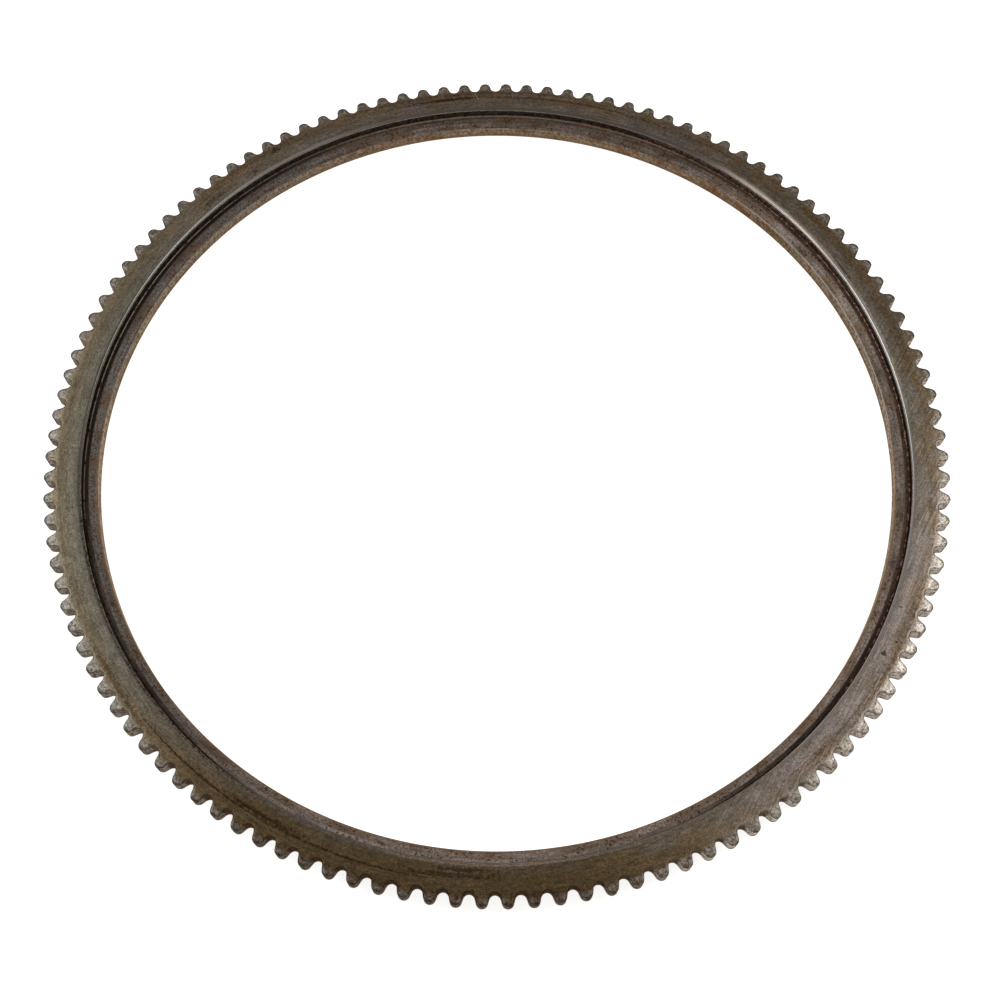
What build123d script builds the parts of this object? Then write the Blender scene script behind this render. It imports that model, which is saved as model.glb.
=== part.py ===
"""Toothed steel ring for a wheel speed sensor, 210 mm across its tooth tips.

Millimetres, +Z up. The origin is on the ring's axis, in the flat face that it lies on.
The ring is one piece. From the top down it has a rim of 120 rounded teeth, an open
counterbore with a narrow flat seat, a sloping lead-in, and a bore. A plain neck lies under
the rim.
"""

import os
from math import acos, atan2, cos, degrees, hypot, pi, radians, sin

from build123d import *

# Body of the ring, from the bore outwards
BORE_DIAMETER = 186.2
LEAD_IN_WIDTH = 1.95  # from the bore out to the seat
LEAD_IN_DEPTH = 1.15  # from the seat down to the bore
SEAT_WIDTH = 1.15  # from the lead-in out to the counterbore's wall
COUNTERBORE_DEPTH = 2.45
CORNER_ROUNDING = 0.5  # between the counterbore's wall and its seat
CREST_ROUNDING = 0.55  # upper inner edge
NECK_WALL = 6.9  # from the bore out to the plain outside below the teeth
RING_HEIGHT = 6.95
LOWER_CHAMFER = 0.1  # both edges of the face that the ring lies on, only just broken

# Toothed rim
RIM_WIDTH = 8.8  # from the counterbore's wall out to the tooth tips
RIM_THICKNESS = 4.1  # length of the teeth along the axis
TOOTH_COUNT = 120
TOOTH_DEPTH = 2.85  # from a tip down to the floor of a gap
TIP_ROUNDING = 1.30  # radius of a tooth's rounded end, seen along the axis
FLANK_ANGLE = 15.7  # slope of a straight flank at the middle of the tooth, degrees
TIP_DROP = 0.62  # how far the bevelled top of a tooth has fallen at its tip
BEVEL_INSET = 0.2  # how far inside the gap floors the bevels begin
BLANK_MARGIN = 1.0  # how far the turned blank reaches past the tips before the teeth are cut

# How finely the small roundings are stepped
TOOTH_STEPS = 6  # in a tooth's end and in a gap's floor: within 0.03 mm of the arc
EDGE_STEPS = 2  # in a turned edge: within 0.05 mm of the arc

# Limits that keep the roundings whole when other sizes change
MOST_TIP_SHARE = 0.6  # of the two roundings of a tooth and a gap together, the tooth's part
MOST_SEAT_SHARE = 0.8  # of the step between the wall and the lead-in, the corner's part

# Derived sizes
BORE_RADIUS = BORE_DIAMETER / 2
LEAD_IN_RADIUS = BORE_RADIUS + LEAD_IN_WIDTH
WALL_RADIUS = LEAD_IN_RADIUS + SEAT_WIDTH
NECK_RADIUS = BORE_RADIUS + NECK_WALL
TIP_RADIUS = WALL_RADIUS + RIM_WIDTH
FLOOR_RADIUS = TIP_RADIUS - TOOTH_DEPTH
BEVEL_RADIUS = FLOOR_RADIUS - BEVEL_INSET
BLANK_RADIUS = TIP_RADIUS + BLANK_MARGIN
HALF_PITCH = pi / TOOTH_COUNT
SEAT_HEIGHT = RING_HEIGHT - COUNTERBORE_DEPTH
BORE_TOP = SEAT_HEIGHT - LEAD_IN_DEPTH
RIM_UNDERSIDE = RING_HEIGHT - RIM_THICKNESS


def arc_points(centre, radius, start, end, steps):
    """Points along an arc about a centre, between two angles in radians, both ends included."""
    turns = [start + (end - start) * step / steps for step in range(steps + 1)]
    return [(centre[0] + radius * cos(turn), centre[1] + radius * sin(turn)) for turn in turns]


def turned_about_axis(point, angle):
    """A point of the outline's plane, turned about the ring's axis by an angle in radians."""
    x, y = point
    return (x * cos(angle) - y * sin(angle), x * sin(angle) + y * cos(angle))


def rounding_sum():
    """Radius of a tooth's end and radius of a gap's floor, added up.

    The first rule leaves straight flanks at FLANK_ANGLE. Where the teeth are too shallow for
    straight flanks, the two arcs meet, which is the second rule.
    """
    half_width = (TIP_RADIUS - TOOTH_DEPTH / 2) * sin(HALF_PITCH)
    slope = radians(FLANK_ANGLE)
    with_flanks = (half_width * cos(slope) - TOOTH_DEPTH * sin(slope)) / (1 - sin(slope))
    without_flanks = (half_width**2 + TOOTH_DEPTH**2) / (2 * TOOTH_DEPTH)
    return min(with_flanks, without_flanks)


def tooth_points():
    """Outline of the tooth on the +X axis and of half a gap floor on each side of it."""
    total = rounding_sum()
    tip_rounding = min(TIP_ROUNDING, MOST_TIP_SHARE * total)
    gap_rounding = total - tip_rounding
    tip_centre = (TIP_RADIUS - tip_rounding, 0.0)
    gap_circle = FLOOR_RADIUS + gap_rounding
    gap_centre = (gap_circle * cos(HALF_PITCH), gap_circle * sin(HALF_PITCH))
    across = (gap_centre[0] - tip_centre[0], gap_centre[1] - tip_centre[1])
    # A flank touches both arcs, so it is square to this direction from both centres.
    contact = atan2(across[1], across[0]) - acos(min(1.0, total / hypot(*across)))
    tooth_end = arc_points(tip_centre, tip_rounding, -contact, contact, TOOTH_STEPS)
    floor = arc_points(gap_centre, gap_rounding, contact + pi, HALF_PITCH + pi, TOOTH_STEPS // 2)
    mirrored = [(x, -y) for x, y in reversed(floor)]
    return mirrored[1:] + tooth_end + floor


def toothed_plate():
    """A plate as high as the ring, bounded by all the teeth."""
    tooth = tooth_points()
    turns = [2 * HALF_PITCH * place for place in range(TOOTH_COUNT)]
    points = [turned_about_axis(point, turn) for turn in turns for point in tooth]
    return extrude(make_face(Polyline(*points, close=True)), RING_HEIGHT)


def bevelled_block():
    """A block with one sloping flat for each tooth round its upper edge."""
    fall = TIP_DROP * (BLANK_RADIUS - BEVEL_RADIUS) / (TIP_RADIUS - BEVEL_RADIUS)
    slope = degrees(atan2(BLANK_RADIUS - BEVEL_RADIUS, fall))
    sides = RegularPolygon(
        BLANK_RADIUS, TOOTH_COUNT, major_radius=False, rotation=degrees(HALF_PITCH)
    )
    lower = extrude(sides, RING_HEIGHT - fall)
    return lower + Pos(0, 0, RING_HEIGHT - fall) * extrude(sides, fall, taper=slope)


def turned_section():
    """Half section of the turned blank in the XZ plane, X being the radius."""
    corner = min(CORNER_ROUNDING, MOST_SEAT_SHARE * SEAT_WIDTH)
    corner_centre = (WALL_RADIUS - corner, SEAT_HEIGHT + corner)
    crest_centre = (WALL_RADIUS + CREST_ROUNDING, RING_HEIGHT - CREST_ROUNDING)
    points = [
        (BLANK_RADIUS, RING_HEIGHT),
        (BLANK_RADIUS, RIM_UNDERSIDE),
        (NECK_RADIUS, RIM_UNDERSIDE),
        (NECK_RADIUS, LOWER_CHAMFER),
        (NECK_RADIUS - LOWER_CHAMFER, 0.0),
        (BORE_RADIUS + LOWER_CHAMFER, 0.0),
        (BORE_RADIUS, LOWER_CHAMFER),
        (BORE_RADIUS, BORE_TOP),
        (LEAD_IN_RADIUS, SEAT_HEIGHT),
    ]
    points += arc_points(corner_centre, corner, -pi / 2, 0.0, EDGE_STEPS)
    points += arc_points(crest_centre, CREST_ROUNDING, pi, pi / 2, EDGE_STEPS)
    return Plane.XZ * make_face(Polyline(*points, close=True))


def tone_ring():
    """The finished ring: the turned blank, cut to the teeth and to their bevels."""
    return revolve(turned_section(), Axis.Z) & bevelled_block() & toothed_plate()


os.makedirs("parts", exist_ok=True)
export_step(tone_ring(), "parts/tone_ring.step")
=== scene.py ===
"""Looks of the toothed steel ring: its finish, a studio and the camera.

Sizes of the ring are millimetres on its section, and everything in the scene is in metres,
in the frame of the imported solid: the ring lies on z = 0 and its axis is +Z. Colours are linear.
An angle in the photograph's view is in degrees round the axis: 0 at the right, 90 at the far
side, 180 at the left and 270 at the near side.
"""

from collections import namedtuple
from math import acos, atan2, cos, hypot, pi, radians, sin, tan
from types import SimpleNamespace

import bpy
import numpy as np
from mathutils import Matrix, Vector


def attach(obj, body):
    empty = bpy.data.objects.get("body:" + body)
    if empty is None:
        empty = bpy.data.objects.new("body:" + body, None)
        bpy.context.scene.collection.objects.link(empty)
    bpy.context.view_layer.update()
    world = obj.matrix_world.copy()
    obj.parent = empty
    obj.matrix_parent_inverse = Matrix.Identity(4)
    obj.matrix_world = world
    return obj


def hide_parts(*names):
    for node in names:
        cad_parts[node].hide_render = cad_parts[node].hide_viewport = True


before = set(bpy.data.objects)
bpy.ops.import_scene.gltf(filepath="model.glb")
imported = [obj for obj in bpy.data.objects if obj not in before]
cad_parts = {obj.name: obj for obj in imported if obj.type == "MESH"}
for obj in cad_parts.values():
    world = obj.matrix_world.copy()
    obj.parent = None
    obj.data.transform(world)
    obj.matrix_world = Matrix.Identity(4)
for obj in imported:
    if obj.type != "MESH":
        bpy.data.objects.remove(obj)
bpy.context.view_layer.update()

MM = 0.001

# Toothed rim
TOOTH_COUNT = 120
TIP_RADIUS = 105.0
TOOTH_DEPTH = 2.85
TIP_ROUNDING = 1.30
FLANK_ANGLE = 15.7
RIM_THICKNESS = 4.1
TIP_DROP = 0.62
BEVEL_INSET = 0.2
TOP_EDGE_WIDTH = 0.62  # of the rounding between a tooth's top and its sides, seen from above
TOP_EDGE_FALL = 0.17  # of that rounding, down the side
LOWER_EDGE_ROUNDING = 0.08

# Body of the ring
RING_HEIGHT = 6.95
WALL_RADIUS = 96.2
SEAT_DEPTH = 2.45
CORNER_ROUNDING = 0.5
CREST_ROUNDING = 0.55
LEAD_IN_RADIUS = 95.05
LEAD_IN_DEPTH = 1.15
BORE_RADIUS = 93.1
BORE_EDGE_ROUNDING = 0.12
NECK_RADIUS = 100.0
LOWER_CHAMFER = 0.1
ROUND_RADIUS = 101.3  # from here inwards every row of the mesh is a circle

GAP_FLOOR_RADIUS = TIP_RADIUS - TOOTH_DEPTH
BEVEL_RADIUS = GAP_FLOOR_RADIUS - BEVEL_INSET
HALF_PITCH = pi / TOOTH_COUNT
SEAT_HEIGHT = RING_HEIGHT - SEAT_DEPTH
BORE_TOP = SEAT_HEIGHT - LEAD_IN_DEPTH
RIM_UNDERSIDE = RING_HEIGHT - RIM_THICKNESS

# Steps of the mesh
TIP_STEPS = 8
GAP_FLOOR_STEPS = 4  # of half a gap's floor
LOWER_EDGE_STEPS = 2
TOP_EDGE_STEPS = 4
FACE_STEPS = 4
CREST_STEPS = 6
CORNER_STEPS = 4
BORE_EDGE_STEPS = 3
TOOTH_TOP_SHARES = (0.25, 0.5, 0.75)  # rows between the teeth's outline and the first circle
BORE_SHARES = (0.33, 0.66)  # rows between the bore's upper and lower edge

# Places on the section of the rows that aren't on the upper side or in the opening
LOWER_EDGE_PLACE = 110.0
TOP_EDGE_SPAN = 1.5  # of the rounding between a tooth's top and its sides
UNDERSIDE_SPAN = 1.5  # from row to row

# Materials, by their slots in the mesh
TOP, SIDES, WALL, SEAT, BORE, UNDER = range(6)

# Camera: fitted to the photograph's teeth, edges and bore, angles in degrees
CAMERA_ELEVATION = 64.06905
CAMERA_DISTANCE = 344.1114  # from the centre of the upper face
CAMERA_PAN = 0.72074
CAMERA_TILT = -2.40577
CAMERA_ROLL = -0.03302
CAMERA_AZIMUTH = 1.47135  # so that the teeth stand as they do in the photograph
CAMERA_LENS = 53.19745
CAMERA_SENSOR = 36.0
CAMERA_SHIFT = (0.0233913, 0.0062631)
CAMERA_CLIP = (0.01, 50.0)


# The outline of the teeth


def arc(start, end, steps):
    """Directions from one angle to another, both included, as an (n, 2) array."""
    turns = np.linspace(start, end, steps + 1)
    return np.stack([np.cos(turns), np.sin(turns)], 1)


def tooth_outline():
    """Points and outward normals of one tooth's outline, from gap to gap, as (n, 2) arrays."""
    half_width = (TIP_RADIUS - TOOTH_DEPTH / 2) * sin(HALF_PITCH)
    slope = radians(FLANK_ANGLE)
    total = (half_width * cos(slope) - TOOTH_DEPTH * sin(slope)) / (1 - sin(slope))
    gap_rounding = total - TIP_ROUNDING
    tip_centre = np.array([TIP_RADIUS - TIP_ROUNDING, 0.0])
    gap_circle = GAP_FLOOR_RADIUS + gap_rounding
    gap_centre = gap_circle * np.array([cos(HALF_PITCH), sin(HALF_PITCH)])
    across = gap_centre - tip_centre
    contact = atan2(across[1], across[0]) - acos(total / hypot(*across))
    tip_normals = arc(-contact, contact, TIP_STEPS)
    tip = tip_centre + TIP_ROUNDING * tip_normals
    from_centre = arc(contact + pi, HALF_PITCH + pi, GAP_FLOOR_STEPS)
    floor = gap_centre + gap_rounding * from_centre
    flip = np.array([1.0, -1.0])
    points = np.concatenate([(floor * flip)[::-1], tip, floor[:-1]])
    normals = np.concatenate([(-from_centre * flip)[::-1], tip_normals, -from_centre[:-1]])
    return points, normals


def ring_outline():
    """Points and normals of all the teeth, one column of the mesh each."""
    turns = 2 * HALF_PITCH * np.arange(TOOTH_COUNT)
    spin = np.stack([[np.cos(turns), np.sin(turns)], [-np.sin(turns), np.cos(turns)]])
    return [np.einsum("pc,cdt->tpd", part, spin).reshape(-1, 2) for part in tooth_outline()]


# The mesh, row by row round the section

Row = namedtuple("Row", "x y z place material sharp")


def top_height(radius):
    """Height of the ring's upper side, which falls away over the teeth."""
    share = np.clip((radius - BEVEL_RADIUS) / (TIP_RADIUS - BEVEL_RADIUS), 0, None)
    return RING_HEIGHT - TIP_DROP * share


def quarter(steps):
    """Numbered angles from 0 to a quarter turn, both ends included."""
    return list(enumerate(np.linspace(0, pi / 2, steps + 1)))


def tooth_rows(points, normals):
    """Rows of the teeth's sides and tops, from their lower edge inwards to the first circle."""
    rows = []

    def add_outline(x, y, height, place, material):
        rows.append(Row(x, y, height, place, material, False))

    for _, turn in quarter(LOWER_EDGE_STEPS)[::-1]:
        x, y = (points - LOWER_EDGE_ROUNDING * (1 - cos(turn)) * normals).T
        level = RIM_UNDERSIDE + LOWER_EDGE_ROUNDING * (1 - sin(turn))
        add_outline(x, y, np.full_like(x, level), LOWER_EDGE_PLACE, SIDES)
    for step, turn in quarter(TOP_EDGE_STEPS):
        x, y = (points - TOP_EDGE_WIDTH * (1 - cos(turn)) * normals).T
        height = top_height(np.hypot(x, y)) - TOP_EDGE_FALL * (1 - sin(turn))
        place = TIP_RADIUS + TOP_EDGE_SPAN * cos(turn)
        add_outline(x, y, height, place, TOP if step else SIDES)

    x, y = (points - TOP_EDGE_WIDTH * normals).T
    edge_radius, edge_angle = np.hypot(x, y), np.arctan2(y, x)
    bend = (np.arctan2(points[:, 1], points[:, 0]) - edge_angle + pi) % (2 * pi) - pi
    for share in TOOTH_TOP_SHARES:
        radius = edge_radius * (1 - share) + ROUND_RADIUS * share
        at = edge_angle + bend * share
        add_outline(radius * np.cos(at), radius * np.sin(at), top_height(radius), radius, TOP)
    return rows


def circle_rows(angle):
    """Rows of the flat face, the counterbore, the opening and the underside."""
    rows = []

    def add_circle(radius, height, place, material, sharp=False):
        x, y = radius * np.cos(angle), radius * np.sin(angle)
        rows.append(Row(x, y, np.full_like(x, height), place, material, sharp))

    crest_start = WALL_RADIUS + CREST_ROUNDING
    for radius in np.linspace(ROUND_RADIUS, crest_start, FACE_STEPS + 1)[:-1]:
        add_circle(radius, RING_HEIGHT, radius, TOP)
    place = crest_start
    for step, turn in quarter(CREST_STEPS):
        add_circle(
            crest_start - CREST_ROUNDING * sin(turn),
            RING_HEIGHT - CREST_ROUNDING * (1 - cos(turn)),
            place - CREST_ROUNDING * turn,
            TOP if step < CREST_STEPS else WALL,
        )
    place -= CREST_ROUNDING * pi / 2
    corner_top = SEAT_HEIGHT + CORNER_ROUNDING
    place -= RING_HEIGHT - CREST_ROUNDING - corner_top
    for step, turn in quarter(CORNER_STEPS):
        add_circle(
            WALL_RADIUS - CORNER_ROUNDING * (1 - cos(turn)),
            corner_top - CORNER_ROUNDING * sin(turn),
            place - CORNER_ROUNDING * turn,
            WALL if step < CORNER_STEPS else SEAT,
        )
    place -= CORNER_ROUNDING * pi / 2
    place -= WALL_RADIUS - CORNER_ROUNDING - LEAD_IN_RADIUS
    add_circle(LEAD_IN_RADIUS, SEAT_HEIGHT, place, SEAT, True)

    slope = atan2(LEAD_IN_DEPTH, LEAD_IN_RADIUS - BORE_RADIUS)
    length = hypot(LEAD_IN_DEPTH, LEAD_IN_RADIUS - BORE_RADIUS)
    middle_radius = (LEAD_IN_RADIUS + BORE_RADIUS) / 2
    add_circle(middle_radius, SEAT_HEIGHT - LEAD_IN_DEPTH / 2, place - length / 2, SEAT)
    place -= length
    bend = pi / 2 - slope  # from the lead-in to the plumb bore
    back = BORE_EDGE_ROUNDING * tan(bend / 2)
    for step, turn in enumerate(np.linspace(pi - bend, pi, BORE_EDGE_STEPS + 1)):
        add_circle(
            BORE_RADIUS + BORE_EDGE_ROUNDING * (1 + cos(turn)),
            BORE_TOP - back + BORE_EDGE_ROUNDING * sin(turn),
            place + back * (1 - 2 * step / BORE_EDGE_STEPS),
            SEAT if step < BORE_EDGE_STEPS else BORE,
        )
    for share in BORE_SHARES:
        level = BORE_TOP * (1 - share) + LOWER_CHAMFER * share
        add_circle(BORE_RADIUS, level, place - BORE_TOP + level, BORE)
    place -= BORE_TOP - LOWER_CHAMFER
    add_circle(BORE_RADIUS, LOWER_CHAMFER, place, UNDER, True)
    for radius, height, sharp in (
        (BORE_RADIUS + LOWER_CHAMFER, 0.0, True),
        ((BORE_RADIUS + NECK_RADIUS) / 2, 0.0, False),
        (NECK_RADIUS - LOWER_CHAMFER, 0.0, True),
        (NECK_RADIUS, LOWER_CHAMFER, True),
        (NECK_RADIUS, RIM_UNDERSIDE, True),
    ):
        place -= UNDERSIDE_SPAN
        add_circle(radius, height, place, UNDER, sharp)
    return rows


def section_rows():
    """All the rows of the mesh, from the teeth's lower edge over the top and round to it.

    A row's place is the radius on the upper side and goes on falling with the length of the
    section inside it, so it is one number that says which band a point is in.
    """
    points, normals = ring_outline()
    return tooth_rows(points, normals) + circle_rows(np.arctan2(points[:, 1], points[:, 0]))


TURNED_RADIUS = 100  # millimetres, of the circle that the turned patterns are laid out on


def build_ring(materials):
    """The ring as one closed mesh of quads, whose turned attribute lays out its patterns."""
    rows = section_rows()
    count, columns = len(rows), len(rows[0].x)
    points = np.stack([np.stack([row.x, row.y, row.z], 1) for row in rows])
    place = np.stack([np.broadcast_to(row.place, columns) for row in rows])
    around = np.arctan2(points[..., 1], points[..., 0])
    circle = TURNED_RADIUS * np.stack([np.cos(around), np.sin(around)], -1)
    turned = np.concatenate([circle, place[..., None]], -1)
    row_at, column_at = np.meshgrid(np.arange(count), np.arange(columns), indexing="ij")
    next_row, next_column = (row_at + 1) % count, (column_at + 1) % columns
    corners = (
        row_at * columns + column_at,
        row_at * columns + next_column,
        next_row * columns + next_column,
        next_row * columns + column_at,
    )
    quads = np.stack(corners, -1).reshape(-1, 4)
    mesh = bpy.data.meshes.new("ring")
    mesh.from_pydata((points.reshape(-1, 3) * MM).tolist(), [], quads.tolist())
    for material in materials:
        mesh.materials.append(material)
    slots = np.repeat([row.material for row in rows], columns).astype(np.int32)
    mesh.polygons.foreach_set("material_index", slots)
    mesh.polygons.foreach_set("use_smooth", np.ones(len(quads), bool))
    ends = np.empty(len(mesh.edges) * 2, np.int32)
    mesh.edges.foreach_get("vertices", ends)
    edge_rows = ends.reshape(-1, 2) // columns
    sharp_rows = [at for at, row in enumerate(rows) if row.sharp]
    sharp = (edge_rows[:, 0] == edge_rows[:, 1]) & np.isin(edge_rows[:, 0], sharp_rows)
    mesh.edges.foreach_set("use_edge_sharp", sharp)
    attribute = mesh.attributes.new("turned", "FLOAT_VECTOR", "POINT")
    attribute.data.foreach_set("vector", turned.astype(np.float32).ravel())
    mesh.update()
    built = bpy.data.objects.new("ring", mesh)
    bpy.context.scene.collection.objects.link(built)
    return built


# Materials

DULL_EDGE = (0.42, 0.35, 0.29)  # the metal's tint at grazing angles: old steel stays dark there
SPECK_EDGE = 0.05  # how far over its limit a pattern makes a full speck
NOISE_SPAN = (0.3, 0.7)  # nearly all of a noise lies between these two
GRAIN_SPAN = (0.25, 0.75)  # the same for a fine grain, with a margin


class Graph:
    """A material's node tree, with one short call for each node that is used."""

    def __init__(self, name):
        self.material = bpy.data.materials.new(name)
        self.material.use_nodes = True
        self.tree = self.material.node_tree
        self.tree.nodes.clear()

    def add(self, kind, inputs=(), **settings):
        """A node of that kind, its inputs fed with values or other nodes' sockets."""
        node = self.tree.nodes.new(kind)
        for key, value in settings.items():
            setattr(node, key, value)
        for key, value in dict(inputs).items():
            socket = node.inputs[key]
            if isinstance(value, bpy.types.NodeSocket):
                self.tree.links.new(value, socket)
            else:
                socket.default_value = value
        return node

    def math(self, operation, *values, clamp=False):
        """The result of one operation on the numbers."""
        inputs = dict(enumerate(values))
        node = self.add("ShaderNodeMath", inputs, operation=operation, use_clamp=clamp)
        return node.outputs[0]

    def product(self, *values):
        """All the numbers multiplied."""
        result = values[0]
        for value in values[1:]:
            result = self.math("MULTIPLY", result, value)
        return result

    def plus(self, value, *terms):
        """A number plus the terms, each of them a share and its amount."""
        for share, amount in terms:
            value = self.math("MULTIPLY_ADD", share, amount, value)
        return value

    def clamped(self, value):
        """The number, kept between 0 and 1."""
        return self.math("ADD", value, 0.0, clamp=True)

    def remap(self, value, low, high, to_low=0.0, to_high=1.0):
        """Goes smoothly from to_low to to_high while the value goes from low to high."""
        inputs = dict(enumerate((value, low, high, to_low, to_high)))
        return self.add("ShaderNodeMapRange", inputs, interpolation_type="SMOOTHSTEP").outputs[0]

    def between(self, share, at_none, at_full):
        """Goes smoothly from one number to the other with the share."""
        return self.remap(share, 0.0, 1.0, at_none, at_full)

    def spread(self, noise, low, high):
        """A number between low and high that follows the noise."""
        return self.remap(noise, *NOISE_SPAN, low, high)

    def roughness(self, grain, low, high):
        """Roughness between low and high that follows the grain."""
        return self.remap(grain, *GRAIN_SPAN, low, high)

    def band(self, value, low, high, soft):
        """1 between low and high, falling to 0 over the soft width outside them."""
        rise = self.remap(value, low - soft, low)
        fall = self.remap(value, high, high + soft, 1.0, 0.0)
        return self.product(rise, fall)

    def specks(self, pattern, limit, strength):
        """The strength where the pattern is over the limit, and 0 elsewhere."""
        over = self.math("SUBTRACT", pattern, limit)
        return self.remap(over, 0.0, SPECK_EDGE, 0.0, strength)

    def mix(self, share, a, b):
        """Colours a and b mixed."""
        node = self.add("ShaderNodeMix", {0: share}, data_type="RGBA")
        for socket, value in ((node.inputs[6], a), (node.inputs[7], b)):
            if isinstance(value, bpy.types.NodeSocket):
                self.tree.links.new(value, socket)
            else:
                socket.default_value = (*value, 1.0)
        return node.outputs[2]

    def blend(self, share, a, b):
        """Numbers a and b mixed."""
        return self.add("ShaderNodeMix", {0: share, 2: a, 3: b}, data_type="FLOAT").outputs[0]

    def tinted(self, colour, shade):
        """A colour times a number."""
        grey = self.add("ShaderNodeCombineColor", {0: shade, 1: shade, 2: shade}).outputs[0]
        inputs = {0: 1.0, 6: colour, 7: grey}
        node = self.add("ShaderNodeMix", inputs, data_type="RGBA", blend_type="MULTIPLY")
        return node.outputs[2]

    def spot(self):
        """Object coordinates in millimetres."""
        coordinates = self.add("ShaderNodeTexCoord").outputs["Object"]
        return self.scaled(coordinates, (1 / MM, 1 / MM, 1 / MM))

    def turned(self):
        """Coordinates on the turned circle, and the place on the section as the third one."""
        return self.add("ShaderNodeAttribute", attribute_name="turned").outputs["Vector"]

    def polar(self, turned):
        """Degrees round the axis from +X, and the place on the section."""
        x, y, place = self.add("ShaderNodeSeparateXYZ", {0: turned}).outputs[:3]
        return self.product(self.math("ARCTAN2", y, x), 180 / pi), place

    def radius(self, spot):
        """Distance from the axis in millimetres."""
        flat = self.scaled(spot, (1, 1, 0))
        return self.add("ShaderNodeVectorMath", {0: flat}, operation="LENGTH").outputs["Value"]

    def along(self, vector, direction):
        """Length of the vector in a direction."""
        inputs = {0: vector, 1: direction}
        return self.add("ShaderNodeVectorMath", inputs, operation="DOT_PRODUCT").outputs["Value"]

    def away(self, angle, middle):
        """Degrees from the middle, which is an angle in the photograph's view."""
        away = self.math("SUBTRACT", angle, middle + CAMERA_AZIMUTH)
        return self.math("WRAP", away, -180.0, 180.0)

    def window(self, angle, middle, half, soft):
        """1 within half degrees of the middle, falling to 0 over the soft width."""
        away = self.math("ABSOLUTE", self.away(angle, middle))
        return self.remap(away, half, half + soft, 1.0, 0.0)

    def windows(self, angle, sectors):
        """A window for each named sector."""
        return SimpleNamespace(**{name: self.window(angle, *at) for name, at in sectors.items()})

    def scaled(self, vector, scale=(1, 1, 1), shift=(0, 0, 0), turn=0.0):
        """The vector scaled, turned round the axis by radians and shifted."""
        inputs = {"Vector": vector, "Scale": scale, "Location": shift, "Rotation": (0, 0, turn)}
        return self.add("ShaderNodeMapping", inputs).outputs[0]

    def noise(self, vector, scale, shift=(0, 0, 0), detail=3.0, roughness=0.6):
        """Noise between 0 and 1, its scale one number or one for each axis."""
        scale = scale if isinstance(scale, tuple) else (scale, scale, scale)
        inputs = {
            "Vector": self.scaled(vector, scale, shift),
            "Scale": 1.0,
            "Detail": detail,
            "Roughness": roughness,
        }
        return self.add("ShaderNodeTexNoise", inputs).outputs[0]

    def finish(self, colour, roughness, bump, bump_depth, metallic=1.0):
        """Metal of that colour and roughness, with bumps of that depth in millimetres."""
        inputs = {"Height": bump, "Strength": 1.0, "Distance": bump_depth * MM}
        normal = self.add("ShaderNodeBump", inputs).outputs[0]
        inputs = {
            "Base Color": colour,
            "Roughness": roughness,
            "Metallic": metallic,
            "Specular Tint": (*DULL_EDGE, 1.0),
            "Normal": normal,
        }
        shader = self.add("ShaderNodeBsdfPrincipled", inputs)
        self.add("ShaderNodeOutputMaterial", {"Surface": shader.outputs[0]})
        return self.material


# Stains, rust marks and pits: (angle in the photograph's view, place on the section, half
# length, half width, strength, tint), lengths in millimetres

RUST = (0.040, 0.015, 0.007)
SOOT = (0.030, 0.017, 0.008)
BROWN_STAIN = (0.062, 0.034, 0.014)
DARK = (0.022, 0.017, 0.012)

TOP_MARKS = [
    (229, 100.2, 16, 0.22, 0.75, SOOT),
    (233, 100.0, 13, 0.13, 0.85, RUST),
    (246, 99.85, 9, 0.13, 0.75, RUST),
    (240, 99.4, 5, 0.3, 0.6, RUST),
    (262, 99.4, 5, 0.2, 0.5, RUST),
    (330, 101.6, 30, 0.35, 0.45, BROWN_STAIN),
    (334, 102.2, 12, 0.3, 0.4, RUST),
    (241, 100.15, 12, 0.3, 0.6, SOOT),
    (241, 99.3, 9, 0.55, 0.75, SOOT),
    (253, 100.1, 16, 0.22, 0.75, SOOT),
    (265, 99.0, 9, 0.45, 0.6, SOOT),
    (266, 97.8, 6, 0.5, 0.6, SOOT),
    (214, 101.0, 9, 0.7, 0.55, BROWN_STAIN),
    (220, 101.4, 4, 0.4, 0.5, BROWN_STAIN),
    (84, 100.15, 40, 0.35, 0.55, BROWN_STAIN),
    (97, 100.0, 7, 0.5, 0.85, RUST),
    (96, 101.5, 24, 0.5, 0.35, RUST),
    (56, 100.5, 10, 0.3, 0.5, BROWN_STAIN),
    (26, 100.6, 26, 1.2, 0.35, BROWN_STAIN),
    (124, 100.75, 1.2, 0.8, 0.75, RUST),
    (128.5, 98.1, 1.0, 0.6, 0.7, RUST),
    (127, 101.3, 14, 0.8, 0.35, BROWN_STAIN),
    (136, 98.4, 3.0, 0.7, 0.5, DARK),
    (329.2, 98.8, 0.55, 0.65, 0.85, DARK),
    (331.3, 100.1, 0.3, 0.3, 0.8, DARK),
    (336, 98.1, 0.35, 0.5, 0.75, DARK),
    (335.6, 101.5, 0.35, 0.5, 0.75, DARK),
    (351, 100.3, 2.2, 0.6, 0.5, BROWN_STAIN),
    (332, 100.6, 12, 0.9, 0.35, BROWN_STAIN),
    (319, 100.3, 14, 0.3, 0.45, BROWN_STAIN),
    (326, 101.1, 11, 0.3, 0.45, BROWN_STAIN),
    (312, 99.7, 9, 0.22, 0.35, BROWN_STAIN),
    (27.2, 96.3, 0.35, 0.7, 0.9, DARK),
    (29, 97.4, 4.0, 0.3, 0.5, RUST),
    (347, 96.0, 1.0, 0.4, 0.5, DARK),
]
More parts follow.
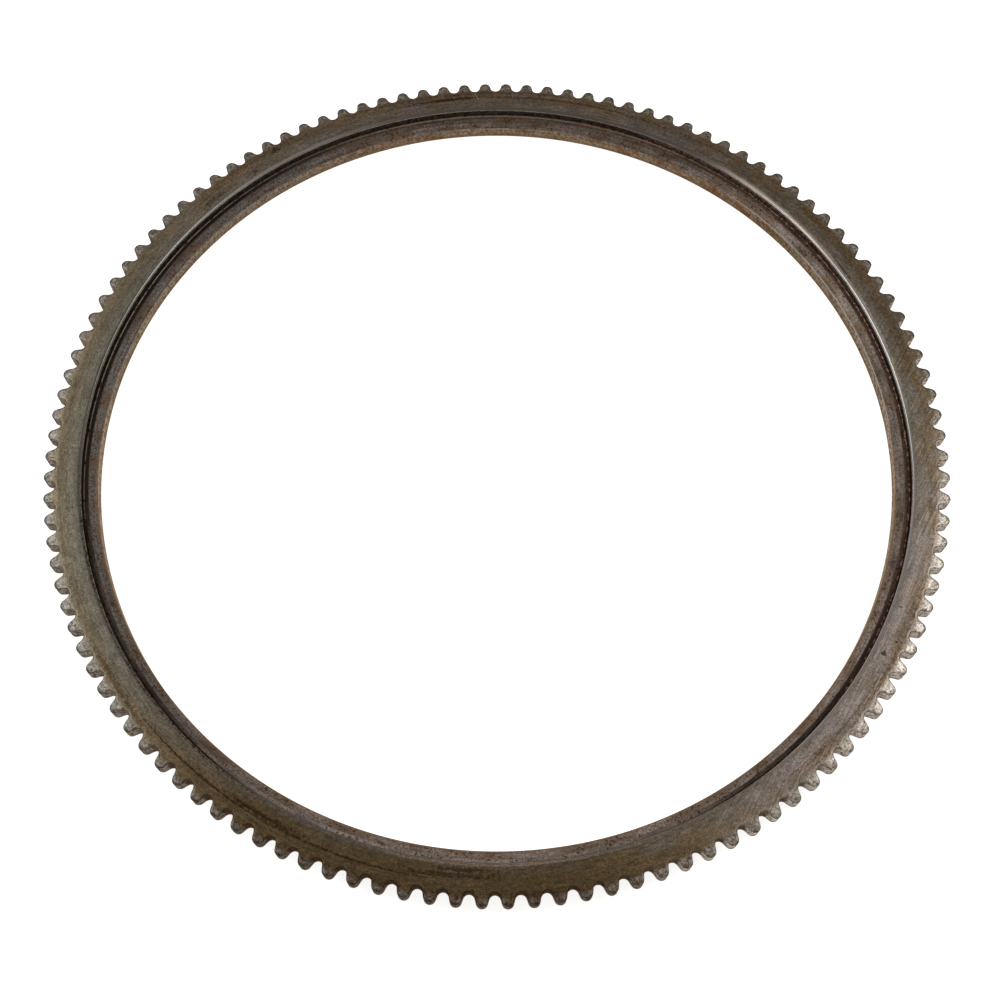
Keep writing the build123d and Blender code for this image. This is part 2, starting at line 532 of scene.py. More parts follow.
WALL_MARKS = [
    (193, 94.08, 3.9, 0.45, 0.85, (0.012, 0.006, 0.003)),
    (356.5, 93.95, 0.8, 0.6, 0.75, (0.045, 0.018, 0.012)),
    (209.3, 93.85, 1.0, 0.45, 0.7, (0.015, 0.009, 0.005)),
    (229.7, 93.85, 1.1, 0.35, 0.7, (0.020, 0.013, 0.007)),
    (59.5, 93.85, 0.8, 0.45, 0.6, RUST),
    (29.2, 94.0, 0.9, 0.4, 0.6, RUST),
    (38.7, 94.0, 0.6, 0.45, 0.6, RUST),
    (320.0, 93.9, 0.8, 0.4, 0.6, RUST),
]
SEAT_MARKS = [
    (342.5, 92.25, 1.7, 0.85, 0.65, (0.046, 0.030, 0.022)),
    (349.7, 92.4, 1.7, 0.45, 0.5, (0.050, 0.034, 0.025)),
    (13.3, 91.5, 4.0, 0.55, 0.35, (0.070, 0.047, 0.034)),
    (35.6, 91.5, 1.8, 0.55, 0.65, (0.060, 0.036, 0.022)),
    (58.9, 91.35, 1.0, 0.35, 0.6, (0.050, 0.026, 0.015)),
    (88.0, 92.6, 1.3, 0.8, 0.7, (0.070, 0.036, 0.015)),
    (98.3, 91.3, 1.8, 0.4, 0.5, (0.058, 0.031, 0.015)),
    (117.9, 91.25, 2.5, 0.4, 0.55, (0.045, 0.031, 0.022)),
    (178.3, 91.6, 1.5, 0.4, 0.45, (0.042, 0.032, 0.022)),
    (196.7, 92.4, 1.4, 0.3, 0.6, (0.032, 0.025, 0.016)),
    (204.2, 92.1, 1.1, 0.6, 0.65, (0.036, 0.027, 0.018)),
    (255.3, 92.6, 1.2, 0.4, 0.65, (0.045, 0.031, 0.022)),
    (2.5, 93.45, 1.4, 0.3, 0.7, RUST),
    (332.7, 93.45, 1.2, 0.35, 0.6, RUST),
]
BORE_MARKS = [
    (42.3, 89.5, 2.6, 1.1, 0.45, (0.085, 0.042, 0.020)),
    (85.1, 89.6, 2.7, 1.1, 0.45, (0.085, 0.042, 0.018)),
    (62.3, 89.5, 1.7, 1.1, 0.40, (0.080, 0.040, 0.018)),
    (114.2, 90.0, 2.1, 0.7, 0.40, (0.075, 0.044, 0.024)),
    (129.6, 89.65, 0.8, 1.0, 0.45, (0.075, 0.040, 0.022)),
    (100.6, 89.9, 1.4, 0.7, 0.50, (0.085, 0.040, 0.014)),
    (9.8, 89.8, 1.9, 1.1, 0.45, (0.110, 0.070, 0.038)),
    (27.3, 89.5, 1.0, 1.1, 0.45, (0.105, 0.060, 0.034)),
    (208.6, 90.0, 1.2, 0.9, 0.40, (0.110, 0.070, 0.030)),
    (347.6, 88.8, 1.3, 0.7, 0.40, (0.120, 0.080, 0.050)),
    (328.1, 89.8, 0.7, 1.0, 0.45, (0.120, 0.065, 0.040)),
]

MM_PER_DEGREE = TURNED_RADIUS * pi / 180
MARK_EDGE = (0.55, 1.35)  # where a mark starts and ends to fade, as shares of its half width
MARK_RAGGED = 0.45  # how far its edge wanders, in the same shares


def stained(g, colour, angle, place, grain, marks):
    """Darkens a colour at marks with ragged edges."""
    ragged = g.spread(grain, -MARK_RAGGED, MARK_RAGGED)
    for middle, centre, half_length, half_width, strength, tint in marks:
        along = g.product(g.away(angle, middle), MM_PER_DEGREE / half_length)
        across = g.product(g.math("SUBTRACT", place, centre), 1 / half_width)
        square = g.math("ADD", g.math("POWER", along, 2.0), g.math("POWER", across, 2.0))
        far = g.math("ADD", g.math("SQRT", square), ragged)
        colour = g.mix(g.remap(far, *MARK_EDGE, strength, 0.0), colour, tint)
    return colour


# Straight scratches of the upper side: (x, y) of the middle, direction in degrees, half length,
# half width and strength, lengths in millimetres

BRIGHT = (0.36, 0.34, 0.31)
SCRATCHES = [
    (-7.6, 100.3, 119, 1.3, 0.07, 0.9),
    (-8.5, 100.5, 114, 1.0, 0.06, 0.7),
    (-16.2, 99.9, 110, 1.1, 0.06, 0.5),
    (1.8, 100.6, 100, 0.9, 0.05, 0.5),
    (68.0, -71.5, 20, 2.0, 0.08, 0.5),
    (71.5, -69.5, 33, 1.8, 0.07, 0.4),
    (95.4, 23.0, 66, 1.4, 0.07, 0.5),
    (97.2, 12.0, 60, 1.8, 0.07, 0.6),
    (97.9, 9.5, 57, 1.4, 0.06, 0.5),
    (99.4, 6.0, 62, 1.2, 0.06, 0.5),
    (98.0, 2.5, 58, 1.6, 0.07, 0.5),
    (99.0, -4.0, 62, 1.6, 0.07, 0.45),
]
SCRATCH_EDGE = (0.4, 1.6)  # where a scratch starts and ends to fade, as shares of its half width
SCRATCH_TAPER = 0.5  # the share of its half length from which it fades towards its ends


def scratched(g, colour, spot):
    """Lightens a colour along the straight scratches."""
    for x, y, turn, half_length, half_width, strength in SCRATCHES:
        c, s = cos(radians(turn)), sin(radians(turn))
        shifted = g.scaled(spot, shift=(-x, -y, 0))
        along = g.math("ABSOLUTE", g.along(shifted, (c, s, 0)))
        across = g.math("ABSOLUTE", g.along(shifted, (-s, c, 0)))
        edge_low, edge_high = (share * half_width for share in SCRATCH_EDGE)
        near = g.remap(across, edge_low, edge_high, 1.0, 0.0)
        reach = g.remap(along, half_length * SCRATCH_TAPER, half_length, 1.0, 0.0)
        colour = g.mix(g.product(near, reach, strength), colour, BRIGHT)
    return colour


# Each material has its sectors, (middle, half width, width of the soft edge) in degrees of the
# photograph's view, and its tints, where a pair is the dark and the pale tint of a pattern. Some
# have bands too: the places on the section where one starts and ends, and its soft edge

STROKE_ANGLE = 61.0  # direction of the straight brush strokes on the right, degrees
CREST_BAND = (96.28, 96.80, 0.22)
DOTTED_BAND = (95.9, 96.6, 0.3)
TOP_SECTORS = {
    "stroked": (342.0, 34.0, 20.0),
    "near": (258.0, 18.0, 26.0),
    "far": (82.0, 30.0, 20.0),
    "far_right": (32.0, 14.0, 20.0),
    "right": (328.0, 18.0, 16.0),
    "left": (202.0, 12.0, 22.0),
    "plain": (190.0, 34.0, 18.0),
    # painted highlight on the face beside the crest
    "shiny": (30.0, 16.0, 14.0),
    "short_wear_right": (12.0, 8.0, 14.0),
    "short_wear_left": (172.0, 14.0, 14.0),
    # painted highlight on the teeth at the right
    "bright_teeth": (334.0, 18.0, 14.0),
    "lit_rim": (324.0, 33.0, 14.0),
    "far_rim": (90.0, 40.0, 20.0),
    "near_crest": (262.0, 36.0, 20.0),
    # sectors of the crest's painted highlights at the right and the far left
    "right_crest": (8.0, 41.0, 12.0),
    "left_crest": (130.0, 8.0, 24.0),
    "dotted_crest": (212.0, 20.0, 14.0),
}
TOP_TINTS = SimpleNamespace(
    film=(0.153, 0.108, 0.066),
    near_film=(0.152, 0.104, 0.056),
    steel=(0.163, 0.143, 0.119),
    # the lighter steel tint on the right is painted light
    right_lit_steel=(0.180, 0.152, 0.135),
    plain_steel=(0.150, 0.139, 0.110),
    far_steel=(0.147, 0.126, 0.110),
    tooth=((0.165, 0.140, 0.116), (0.31, 0.287, 0.257)),
    # painted shade of the teeth's outermost edge
    rim=(0.080, 0.083, 0.080),
    near_rim_shade=((0.012, 0.009, 0.006), (0.065, 0.055, 0.046)),
    # painted sheen on the near side of the crest, then the crest's dull tint and its painted
    # highlight tint
    near_crest_sheen=(0.120, 0.092, 0.070),
    crest=((0.118, 0.110, 0.100), (0.28, 0.272, 0.264)),
    dots=(0.020, 0.013, 0.008),
)
# Sectors of the crest and their tints, the later ones over the earlier ones: painted highlights at
# the right and near right, and painted light on the near side
CREST_LIGHT_SPOTS = [
    ((18.0, 7.0, 9.0), (0.37, 0.365, 0.36)),
    ((43.0, 5.0, 8.0), (0.62, 0.59, 0.56)),
    ((316.0, 8.0, 14.0), (0.30, 0.278, 0.257)),
    ((285.0, 16.0, 14.0), (0.176, 0.147, 0.122)),
    ((268.0, 6.0, 10.0), (0.225, 0.176, 0.142)),
]


def film_and_steel(g, at, spot, turned, radius, stroke):
    """Colour of the flat face: a brown film, with grey steel where it has worn thin, painted shade on
    the near side and the far right, painted light on the right and a painted highlight beside the
    crest at the far right.
    """
    tint = TOP_TINTS
    cloud = g.noise(spot, 0.13, (5, 2, 0), detail=4.0, roughness=0.55)
    cloudy = g.blend(at.plain, g.remap(cloud, 0.36, 0.64, 0.0, 0.55), 0.35)
    inside = g.remap(radius, 100.8, 98.2)
    drawn = g.product(at.stroked, g.remap(stroke, 0.35, 0.65, -0.30, 0.30))
    bare = g.plus(cloudy, (inside, 0.5), (at.right, 0.30), (drawn, 1.0), (at.near, -0.7))
    film = g.mix(at.near, tint.film, tint.near_film)
    # lighter steel on the right: painted light
    steel = g.mix(at.right, tint.steel, tint.right_lit_steel)
    steel = g.mix(at.plain, steel, tint.plain_steel)
    steel = g.mix(at.far, steel, tint.far_steel)
    painted_shine = g.product(at.shiny, g.remap(radius, 97.7, 96.7))
    # painted shade on the near side and the far right, painted light on the right, a painted
    # highlight beside the crest
    level = g.plus(1.0, (at.near, -0.33), (at.far_right, -0.12), (at.right, 0.14), (painted_shine, 1.2))
    blotch = g.noise(turned, (0.22, 0.22, 0.45), (7, 7, 2))
    level = g.product(level, g.remap(blotch, 0.32, 0.68, 0.86, 1.14))
    return g.tinted(g.mix(g.clamped(bare), film, steel), level)


def teeth_wear_and_shade(g, colour, at, radius, place, grain):
    """Pales the teeth with wear, paints a highlight on the teeth at the right and shade on those at
    the near side and the left, and darkens their outermost edge with painted shade, less on the lit
    side and at the far side.
    """
    tint = TOP_TINTS
    outward = g.plus(radius, (at.near, -1.2), (at.short_wear_right, -1.3), (at.short_wear_left, -0.5))
    worn = g.remap(outward, 101.6, 103.2, 0.0, 0.85)
    # painted highlight on the teeth at the right, painted shade on those at the near side and the
    # left
    level = g.plus(1.0, (at.bright_teeth, 0.45), (at.near, -0.22), (at.left, -0.18))
    tooth = g.mix(g.remap(grain, 0.4, 0.6), *tint.tooth)
    colour = g.mix(worn, colour, g.tinted(tooth, level))
    # painted shade along the teeth's outermost edge and its rounding, weaker on the lit side and at
    # the far side
    rim = g.math("MAXIMUM", g.remap(radius, 104.1, 104.6), g.remap(place, 105.7, 106.4))
    rim = g.product(rim, g.between(at.lit_rim, 0.85, 0.15), g.between(at.far_rim, 1.0, 0.85))
    near_rim_shade = g.mix(g.remap(radius, 103.2, 103.9), *tint.near_rim_shade)
    return g.mix(rim, colour, g.mix(at.near, tint.rim, near_rim_shade))


def crest_wear_and_highlights(g, colour, at, angle, place, burnished):
    """Lays the burnished crest over a colour, with painted highlights where the lamps reflect in it
    at the right and the far left, behind a painted sheen on the near side.
    """
    tint = TOP_TINTS
    # painted sheen towards the crest on the near side
    sheen_share = g.product(at.near_crest, g.remap(place, 97.9, 96.5), 0.55)
    colour = g.mix(sheen_share, colour, tint.near_crest_sheen)
    # painted highlight: the pale crest tint at the right and the far left
    bright = g.clamped(g.plus(at.right_crest, (at.left_crest, 1.0)))
    crest = g.mix(bright, *tint.crest)
    # painted highlights and painted light on parts of the crest
    for sector, light_tint in CREST_LIGHT_SPOTS:
        crest = g.mix(g.window(angle, *sector), crest, light_tint)
    return g.mix(g.product(burnished, 0.85), colour, crest)


def top_material():
    """Turned and brushed upper side: greyish steel under a brown film, with worn teeth."""
    g = Graph("top")
    spot, turned = g.spot(), g.turned()
    angle, place = g.polar(turned)
    radius = g.radius(spot)
    at = g.windows(angle, TOP_SECTORS)
    grain = g.noise(spot, 1.3, detail=4.0, roughness=0.7)
    strokes = g.scaled(spot, turn=radians(-STROKE_ANGLE - CAMERA_AZIMUTH))
    stroke = g.noise(strokes, (0.08, 2.4, 1.0), detail=4.0, roughness=0.65)
    burnished = g.band(place, *CREST_BAND)

    colour = film_and_steel(g, at, spot, turned, radius, stroke)
    colour = teeth_wear_and_shade(g, colour, at, radius, place, grain)
    colour = stained(g, colour, angle, place, grain, TOP_MARKS)
    colour = scratched(g, colour, spot)
    colour = crest_wear_and_highlights(g, colour, at, angle, place, burnished)

    fine = g.noise(turned, (0.5, 0.5, 5.0))
    streak = g.noise(turned, (0.05, 0.05, 1.6), detail=4.0)
    dust = g.noise(spot, 3.2, (3, 1, 0), detail=2.0)
    lines = g.remap(g.blend(at.stroked, fine, stroke), 0.28, 0.72, 0.76, 1.24)
    mottled = g.spread(grain, 0.80, 1.20)
    streaked = g.spread(streak, 0.88, 1.12)
    dusty = g.spread(dust, 0.70, 1.30)
    shade = g.product(lines, mottled, streaked, dusty)
    polished = g.product(burnished, g.between(at.near_crest, 1.0, 0.0))
    shade = g.blend(g.product(polished, 0.92), shade, 1.0)
    colour = g.tinted(colour, shade)

    limit = g.plus(g.remap(radius, 101.5, 103.0, 0.69, 0.60), (at.near, -0.03))
    speck_noise = g.noise(spot, 1.9, (9, 4, 0), detail=2.0, roughness=0.5)
    speck = g.specks(speck_noise, limit, 0.7)
    colour = g.mix(speck, colour, RUST)
    dots = g.remap(g.noise(spot, 1.4, (4, 4, 6), detail=2.0), 0.50, 0.58)
    dotted = g.product(dots, g.band(place, *DOTTED_BAND), at.dotted_crest, 0.85)
    colour = g.mix(dotted, colour, TOP_TINTS.dots)

    roughness = g.blend(polished, g.roughness(grain, 0.36, 0.46), 0.27)
    bump = g.plus(grain, (lines, 0.6), (speck, -1.0))
    bump = g.product(bump, g.between(burnished, 1.0, 0.08))
    return g.finish(colour, roughness, bump, 0.012)


SIDES_SECTORS = {
    "right": (336.0, 40.0, 14.0),
    "left": (194.0, 36.0, 14.0),
    "near": (268.0, 38.0, 16.0),
}
SIDES_TINTS = SimpleNamespace(
    steel=((0.028, 0.021, 0.015), (0.20, 0.18, 0.16)),
    # the right and left tints are painted light on the flanks, the lower edge tint a painted
    # reflection of the floor with some wear, the gap tint painted shade
    right_lit_steel=((0.17, 0.125, 0.10), (0.56, 0.52, 0.48)),
    left_lit_steel=((0.070, 0.058, 0.046), (0.30, 0.275, 0.24)),
    lower_edge_sheen=(0.21, 0.215, 0.215),
    gap=(0.040, 0.029, 0.020),
)


def sides_material():
    """Sides of the teeth: dull, with rust specks, painted light on the flanks at the right and the
    left, a lower edge lightened as a painted reflection of the floor with some edge wear, and painted
    shade deep in the gaps on the near side.
    """
    g = Graph("sides")
    spot = g.spot()
    angle, place = g.polar(g.turned())
    radius = g.radius(spot)
    at, tint = g.windows(angle, SIDES_SECTORS), SIDES_TINTS
    grain = g.noise(spot, 1.6, detail=4.0, roughness=0.7)
    colour = g.mix(g.remap(grain, 0.38, 0.62), *tint.steel)
    right_lit_steel = g.mix(g.remap(grain, 0.36, 0.56), *tint.right_lit_steel)
    # painted light on the flanks at the right and the left
    colour = g.mix(g.product(at.right, 0.9), colour, right_lit_steel)
    left_lit_steel = g.mix(g.remap(grain, 0.36, 0.60), *tint.left_lit_steel)
    colour = g.mix(g.product(at.left, 0.9), colour, left_lit_steel)
    specks = g.noise(spot, 1.2, (2, 8, 3))
    colour = g.mix(g.remap(specks, 0.54, 0.62, 0.0, 0.8), colour, RUST)
    # lower edge lightened: painted reflection of the floor, with some edge wear
    edge = g.product(g.remap(place, 108.8, 109.9), g.remap(radius, 103.2, 104.2), 0.8)
    colour = g.mix(edge, colour, tint.lower_edge_sheen)
    # painted shade deep in the gaps on the near side
    gap = g.product(g.remap(radius, 103.4, 102.6), at.near, 0.85)
    colour = g.mix(gap, colour, tint.gap)
    return g.finish(colour, g.roughness(grain, 0.42, 0.55), grain, 0.02)


# bands of the painted highlights along the corner
CORNER_HIGHLIGHT_BAND = (93.98, 94.12, 0.12)
FAR_HIGHLIGHT_BAND = (93.76, 93.98, 0.14)
DROPS_BAND = (93.9, 94.2, 0.15)
WALL_SECTORS = {
    "brown": (42.0, 18.0, 10.0),
    "blue": (12.0, 12.0, 10.0),
    "near": (266.0, 24.0, 14.0),
    "rusty_far": (36.0, 38.0, 10.0),
    "rusty_right": (338.0, 14.0, 8.0),
    "lined": (95.0, 95.0, 4.0),
    "far": (85.0, 18.0, 20.0),
}
WALL_TINTS = SimpleNamespace(
    steel=((0.012, 0.008, 0.006), (0.046, 0.037, 0.030)),
    brown=((0.040, 0.018, 0.012), (0.135, 0.105, 0.085)),
    # the bluish tint is a painted sheen, the near tint painted light, and the two line tints painted
    # highlights on the corner
    blue=(0.055, 0.064, 0.066),
    near=(0.13, 0.105, 0.09),
    rusty=(0.048, 0.019, 0.012),
    line=(0.115, 0.100, 0.086),
    far_corner_highlight=(0.285, 0.215, 0.155),
    drops=(0.200, 0.120, 0.095),
)


def wall_material():
    """Counterbore's wall, dark, with a painted highlight along its corner, a painted bluish sheen
    under the crest at the right, painted light on the near side, and rust in its corner.
    """
    g = Graph("wall")
    spot = g.spot()
    angle, place = g.polar(g.turned())
    at, tint = g.windows(angle, WALL_SECTORS), WALL_TINTS
    grain = g.noise(spot, 1.2, detail=4.0, roughness=0.65)
    colour = g.mix(g.remap(grain, 0.35, 0.65), *tint.steel)
    brown = g.mix(g.remap(grain, 0.38, 0.62), *tint.brown)
    colour = g.mix(g.product(at.brown, 0.9), colour, brown)
    # painted bluish sheen just under the crest at the right
    blue = g.product(at.blue, g.remap(place, 94.9, 95.4), 0.8)
    colour = g.mix(blue, colour, tint.blue)
    # painted light on the near side
    colour = g.mix(at.near, colour, tint.near)
    rusty = g.clamped(g.plus(at.rusty_far, (at.rusty_right, 1.0)))
    low = g.remap(place, 94.9, 94.4)
    colour = g.mix(g.product(rusty, low, 0.8), colour, tint.rusty)

    # painted highlight along the corner's rounding, broken up and hidden by rust
    broken = g.remap(g.noise(spot, 0.7, (4, 1, 7), detail=2.0, roughness=0.5), 0.36, 0.5)
    shown = g.product(at.lined, g.between(rusty, 1.0, 0.15), broken)
    line = g.product(g.band(place, *CORNER_HIGHLIGHT_BAND), shown)
    colour = g.mix(g.product(line, 0.85), colour, tint.line)
    # a stronger painted highlight on the corner at the far side
    uneven = g.remap(grain, 0.3, 0.6, 0.55, 0.95)
    far_corner_highlight = g.product(g.band(place, *FAR_HIGHLIGHT_BAND), at.far, uneven)
    colour = g.mix(far_corner_highlight, colour, tint.far_corner_highlight)

    wander = g.spread(g.noise(spot, 0.9, (6, 2, 2), detail=2.0), -0.22, 0.22)
    drops = g.remap(g.noise(spot, 1.1, (3, 5, 1), detail=1.0, roughness=0.5), 0.50, 0.57)
    height = g.math("ADD", place, wander)
    drops = g.product(drops, g.band(height, *DROPS_BAND), rusty, 0.85)
    colour = g.mix(drops, colour, tint.drops)
    colour = stained(g, colour, angle, place, grain, WALL_MARKS)
    return g.finish(colour, g.between(line, 0.45, 0.35), grain, 0.012)


EDGE_HIGHLIGHT_BAND = (90.6, 90.9, 0.15)
SEAT_SECTORS = {
    "left": (170.0, 40.0, 30.0),
    # sectors of painted light and painted shade on the slope, and of the painted shade, highlight and
    # golden reflection below
    "light_near": (292.0, 40.0, 22.0),
    "light_far": (36.0, 14.0, 12.0),
    "deep": (105.0, 50.0, 20.0),
    "brown_flat": (50.0, 55.0, 30.0),
    "unshaded_flat": (265.0, 22.0, 28.0),
    "shaded_flat": (293.0, 8.0, 10.0),
    "pale_flat": (203.0, 8.0, 8.0),
    "edge_highlight": (27.0, 20.0, 6.0),
    "golden_reflection": (265.0, 70.0, 30.0),
}
SEAT_TINTS = SimpleNamespace(
    dark=(0.092, 0.064, 0.050),
    left_dark=(0.062, 0.051, 0.044),
    pale=(0.235, 0.197, 0.177),
    left_pale=(0.185, 0.167, 0.153),
    patches=(0.115, 0.074, 0.050),
    # the flat tints are painted shade from the wall, with the seat's own lighter colour on the near
    # side; the edge tints are a painted highlight and a painted golden reflection
    flat=(0.034, 0.025, 0.019),
    brown_flat=(0.125, 0.090, 0.065),
    unshaded_flat=(0.225, 0.185, 0.158),
    pits=(0.035, 0.020, 0.014),
    edge_highlight=(0.42, 0.385, 0.35),
    golden_reflection=(0.215, 0.130, 0.060),
)


def seat_material():
    """Seat and lead-in: the flat painted dark with shade from the wall but for the near side, the
    slope grey and pitted, with painted light at the near side and the far right and painted shade
    high up at the far side, a painted highlight on its lower edge at the right and a painted golden
    reflection along it at the near side.
    """
    g = Graph("seat")
    spot, turned = g.spot(), g.turned()
    angle, place = g.polar(turned)
    at, tint = g.windows(angle, SEAT_SECTORS), SEAT_TINTS
    grain = g.noise(spot, 2.4, detail=4.0, roughness=0.65)
    patches = g.noise(spot, 0.16, (1, 6, 0))
    rings = g.noise(turned, (0.06, 0.06, 1.8))
    dark = g.mix(at.left, tint.dark, tint.left_dark)
    pale = g.mix(at.left, tint.pale, tint.left_pale)
    colour = g.mix(g.remap(grain, 0.36, 0.64), dark, pale)
    colour = g.mix(g.remap(patches, 0.42, 0.60, 0.0, 0.75), colour, tint.patches)
    # painted light on the slope at the near side and the far right, painted shade on its upper part
    # at the far side
    light = g.math("MAXIMUM", at.light_near, at.light_far)
    deep = g.product(g.remap(place, 91.3, 92.9), at.deep)
    level = g.product(g.between(light, 0.95, 1.28), g.between(deep, 1.04, 0.72))
    colour = g.tinted(colour, g.product(level, g.remap(rings, 0.35, 0.65, 0.78, 1.22)))

    # the flat painted dark as shade from the wall, browner at the far right, keeping its lighter
    # colour on the near side
    unshaded = g.plus(at.unshaded_flat, (at.shaded_flat, -0.3), (at.pale_flat, 0.22))
    flat = g.mix(at.brown_flat, tint.flat, tint.brown_flat)
    flat = g.mix(g.clamped(unshaded), flat, tint.unshaded_flat)
    uneven = g.product(g.spread(grain, 0.6, 1.35), g.spread(patches, 0.65, 1.35))
    colour = g.mix(g.remap(place, 92.8, 93.15), colour, g.tinted(flat, uneven))

    pit_noise = g.noise(spot, 1.7, (7, 3, 5), detail=2.0, roughness=0.5)
    pit = g.specks(pit_noise, g.remap(patches, 0.35, 0.6, 0.66, 0.57), 0.85)
    colour = g.mix(pit, colour, tint.pits)
    # painted highlight on the lower edge of the slope at the right
    edge_highlight = g.product(g.band(place, *EDGE_HIGHLIGHT_BAND), at.edge_highlight, 0.7)
    colour = g.mix(edge_highlight, colour, tint.edge_highlight)
    # painted golden reflection along the lower edge on the near side
    golden_reflection = g.product(g.remap(place, 91.35, 90.95), at.golden_reflection, 0.85)
    colour = g.mix(golden_reflection, colour, tint.golden_reflection)
    colour = stained(g, colour, angle, place, grain, SEAT_MARKS)
    roughness = g.roughness(grain, 0.52, 0.64)
    return g.finish(colour, roughness, g.math("SUBTRACT", grain, pit), 0.02, metallic=0.75)


BORE_SECTORS = {
    # sectors of painted light and shade by side and of a painted golden reflection along the lower
    # edge, besides the golden tone and the rust
    "far": (75.0, 50.0, 40.0),
    "golden": (78.0, 28.0, 30.0),
    "dim": (158.0, 8.0, 14.0),
    "bright": (16.0, 10.0, 12.0),
    "golden_reflection": (95.0, 80.0, 15.0),
    "rusty": (76.0, 30.0, 20.0),
}
BORE_TINTS = SimpleNamespace(
    dark=(0.110, 0.077, 0.054),
    golden_dark=(0.100, 0.063, 0.040),
    pale=(0.283, 0.241, 0.198),
    golden_pale=(0.262, 0.206, 0.150),
    # painted golden reflection along the lower edge
    golden_reflection=(0.165, 0.098, 0.040),
    rust=(0.12, 0.048, 0.020),
    streaks=(0.060, 0.030, 0.016),
)


def bore_material():
    """Bore: rough and brown, streaked along the axis, with rust at the far side, painted light away
    from the far side and at the right, painted shade at the far side and beside the left, and a
    painted golden reflection along its lower edge.
    """
    g = Graph("bore")
    spot, turned = g.spot(), g.turned()
    angle, place = g.polar(turned)
    at, tint = g.windows(angle, BORE_SECTORS), BORE_TINTS
    grain = g.noise(spot, (1.6, 1.6, 1.1), detail=4.0, roughness=0.7)
    patches = g.noise(spot, 0.3, (3, 3, 0))
    rings = g.noise(turned, (0.06, 0.06, 2.0))
    dark = g.mix(at.golden, tint.dark, tint.golden_dark)
    pale = g.mix(at.golden, tint.pale, tint.golden_pale)
    colour = g.mix(g.remap(grain, 0.36, 0.64), dark, pale)
    # painted light away from the far side and at the right, painted shade at the far side and beside
    # the left
    level = g.product(g.between(at.far, 1.60, 0.84), g.between(at.dim, 1.0, 0.72))
    level = g.product(level, g.remap(rings, 0.35, 0.65, 0.87, 1.15))
    colour = g.tinted(colour, g.plus(level, (at.bright, 0.18)))
    # painted golden reflection along the lower edge
    golden_reflection = g.product(g.remap(place, 88.9, 88.0), at.golden_reflection, 0.55)
    colour = g.mix(golden_reflection, colour, tint.golden_reflection)
    rust = g.product(g.remap(patches, 0.48, 0.60), at.rusty, 0.55)
    colour = g.mix(rust, colour, tint.rust)
    streaks = g.noise(spot, (0.9, 0.9, 0.5), (8, 2, 4), detail=2.0, roughness=0.5)
    colour = g.mix(g.remap(streaks, 0.62, 0.70, 0.0, 0.6), colour, tint.streaks)
    colour = stained(g, colour, angle, place, grain, BORE_MARKS)
    return g.finish(colour, g.roughness(grain, 0.4, 0.55), grain, 0.02)


UNDER_TINTS = ((0.14, 0.112, 0.085), (0.23, 0.205, 0.18))


def under_material():
    """Underside and neck, which the photograph doesn't show: plain turned steel."""
    g = Graph("under")
    grain = g.noise(g.spot(), 1.6)
    lines = g.noise(g.turned(), (0.1, 0.1, 5.0))
    share = g.blend(0.5, grain, lines)
    colour = g.mix(g.remap(share, 0.35, 0.65), *UNDER_TINTS)
    return g.finish(colour, g.roughness(grain, 0.34, 0.46), share, 0.01)


def build_materials():
    """Materials in the order of the numbers TOP to UNDER."""
    return [
        top_material(),
        sides_material(),
        wall_material(),
        seat_material(),
        bore_material(),
        under_material(),
    ]


# Studio

FLOOR_GAP = 0.05  # the floor lies this far under the ring, so that no two faces share a plane
FLOOR_RADIUS = 8.0  # metres
FLOOR_SIDES = 96
FLOOR_COLOUR = (0.8, 0.8, 0.8, 1)
FLOOR_GLOW = 0.75  # only the camera, reflections and refractions see it
WORLD_COLOUR = (0.50, 0.468, 0.425, 1)

# Soft boxes: (name, azimuth, elevation, distance, size, power, colour), with angles in degrees,
# lengths in metres and power in watts
SOFT_BOXES = [
    ("key", 165, 44, 0.9, (0.6, 0.5), 2.6, (0.90, 0.97, 1.0)),
    ("fill", 14, 51, 0.9, (0.36, 0.36), 2.0, (0.96, 0.98, 1.0)),
]


def build_soft_box(name, azimuth, elevation, distance, size, power, colour):
    """An area light that faces the ring from that direction."""
    light = bpy.data.lights.new(name, "AREA")
    light.shape = "RECTANGLE"
    light.size, light.size_y = size
    light.energy = power
    light.color = colour
    a, e = radians(azimuth), radians(elevation)
    away = Vector((cos(a) * cos(e), sin(a) * cos(e), sin(e)))
    lamp = bpy.data.objects.new(name, light)
    lamp.location = away * distance
    lamp.rotation_euler = away.to_track_quat("Z", "Y").to_euler()
    bpy.context.scene.collection.objects.link(lamp)


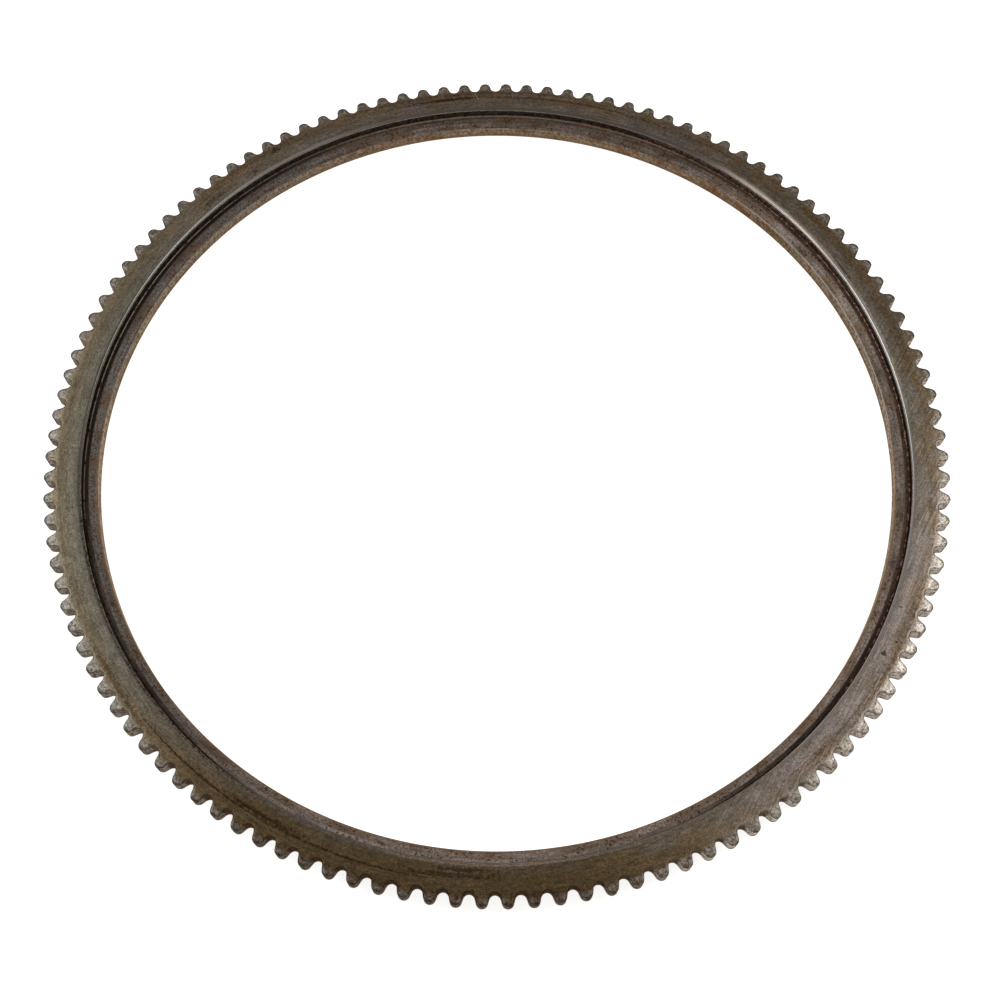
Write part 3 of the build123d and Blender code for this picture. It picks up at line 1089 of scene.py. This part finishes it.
def build_floor():
    """A pale floor that shows as white and keeps the ring's shadow."""
    g = Graph("floor")
    paths = g.add("ShaderNodeLightPath").outputs
    seen = g.math("MAXIMUM", paths["Is Camera Ray"], paths["Is Glossy Ray"])
    seen = g.math("MAXIMUM", seen, paths["Is Transmission Ray"])
    strength = g.product(seen, FLOOR_GLOW)
    matte = g.add("ShaderNodeBsdfDiffuse", {"Color": FLOOR_COLOUR}).outputs[0]
    glow = g.add("ShaderNodeEmission", {"Color": (1, 1, 1, 1), "Strength": strength}).outputs[0]
    both = g.add("ShaderNodeAddShader", {0: matte, 1: glow}).outputs[0]
    g.add("ShaderNodeOutputMaterial", {"Surface": both})
    turns = np.linspace(0, 2 * pi, FLOOR_SIDES, endpoint=False)
    rim = [(FLOOR_RADIUS * cos(t), FLOOR_RADIUS * sin(t), -FLOOR_GAP * MM) for t in turns]
    mesh = bpy.data.meshes.new("floor")
    mesh.from_pydata(rim, [], [list(range(FLOOR_SIDES))])
    mesh.materials.append(g.material)
    floor = bpy.data.objects.new("floor", mesh)
    bpy.context.scene.collection.objects.link(floor)


def build_world():
    """Dim, slightly warm surroundings."""
    world = bpy.data.worlds.new("studio")
    bpy.context.scene.world = world
    world.use_nodes = True
    nodes, links = world.node_tree.nodes, world.node_tree.links
    nodes.clear()
    dim = nodes.new("ShaderNodeBackground")
    dim.inputs["Color"].default_value = WORLD_COLOUR
    out = nodes.new("ShaderNodeOutputWorld")
    links.new(dim.outputs[0], out.inputs["Surface"])


def build_camera():
    """The camera, with its shift only as large as the photograph's framing."""
    e = radians(CAMERA_ELEVATION)
    back = Vector((0, -cos(e), sin(e)))
    right, ahead = np.array([1.0, 0.0, 0.0]), -np.array(back)
    axes = np.array([right, np.cross(right, ahead), ahead])
    for axis, angle in (("Y", CAMERA_PAN), ("X", CAMERA_TILT), ("Z", CAMERA_ROLL)):
        axes = np.array(Matrix.Rotation(radians(angle), 3, axis)) @ axes
    columns = Matrix((axes[0], axes[1], -axes[2])).transposed()
    spin = Matrix.Rotation(radians(CAMERA_AZIMUTH), 3, "Z")
    stand = (spin @ columns).to_4x4()
    stand.translation = spin @ (back * CAMERA_DISTANCE * MM) + Vector((0, 0, RING_HEIGHT * MM))
    data = bpy.data.cameras.new("camera")
    data.lens = CAMERA_LENS
    data.sensor_width = CAMERA_SENSOR
    data.shift_x, data.shift_y = CAMERA_SHIFT
    data.clip_start, data.clip_end = CAMERA_CLIP
    camera = bpy.data.objects.new("camera", data)
    camera.matrix_world = stand
    bpy.context.scene.collection.objects.link(camera)
    bpy.context.scene.camera = camera


build_camera()
build_world()
build_floor()
for soft_box in SOFT_BOXES:
    build_soft_box(*soft_box)
ring = build_ring(build_materials())
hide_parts("tone_ring")
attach(ring, "root")
bpy.context.scene.view_settings.view_transform = "Standard"
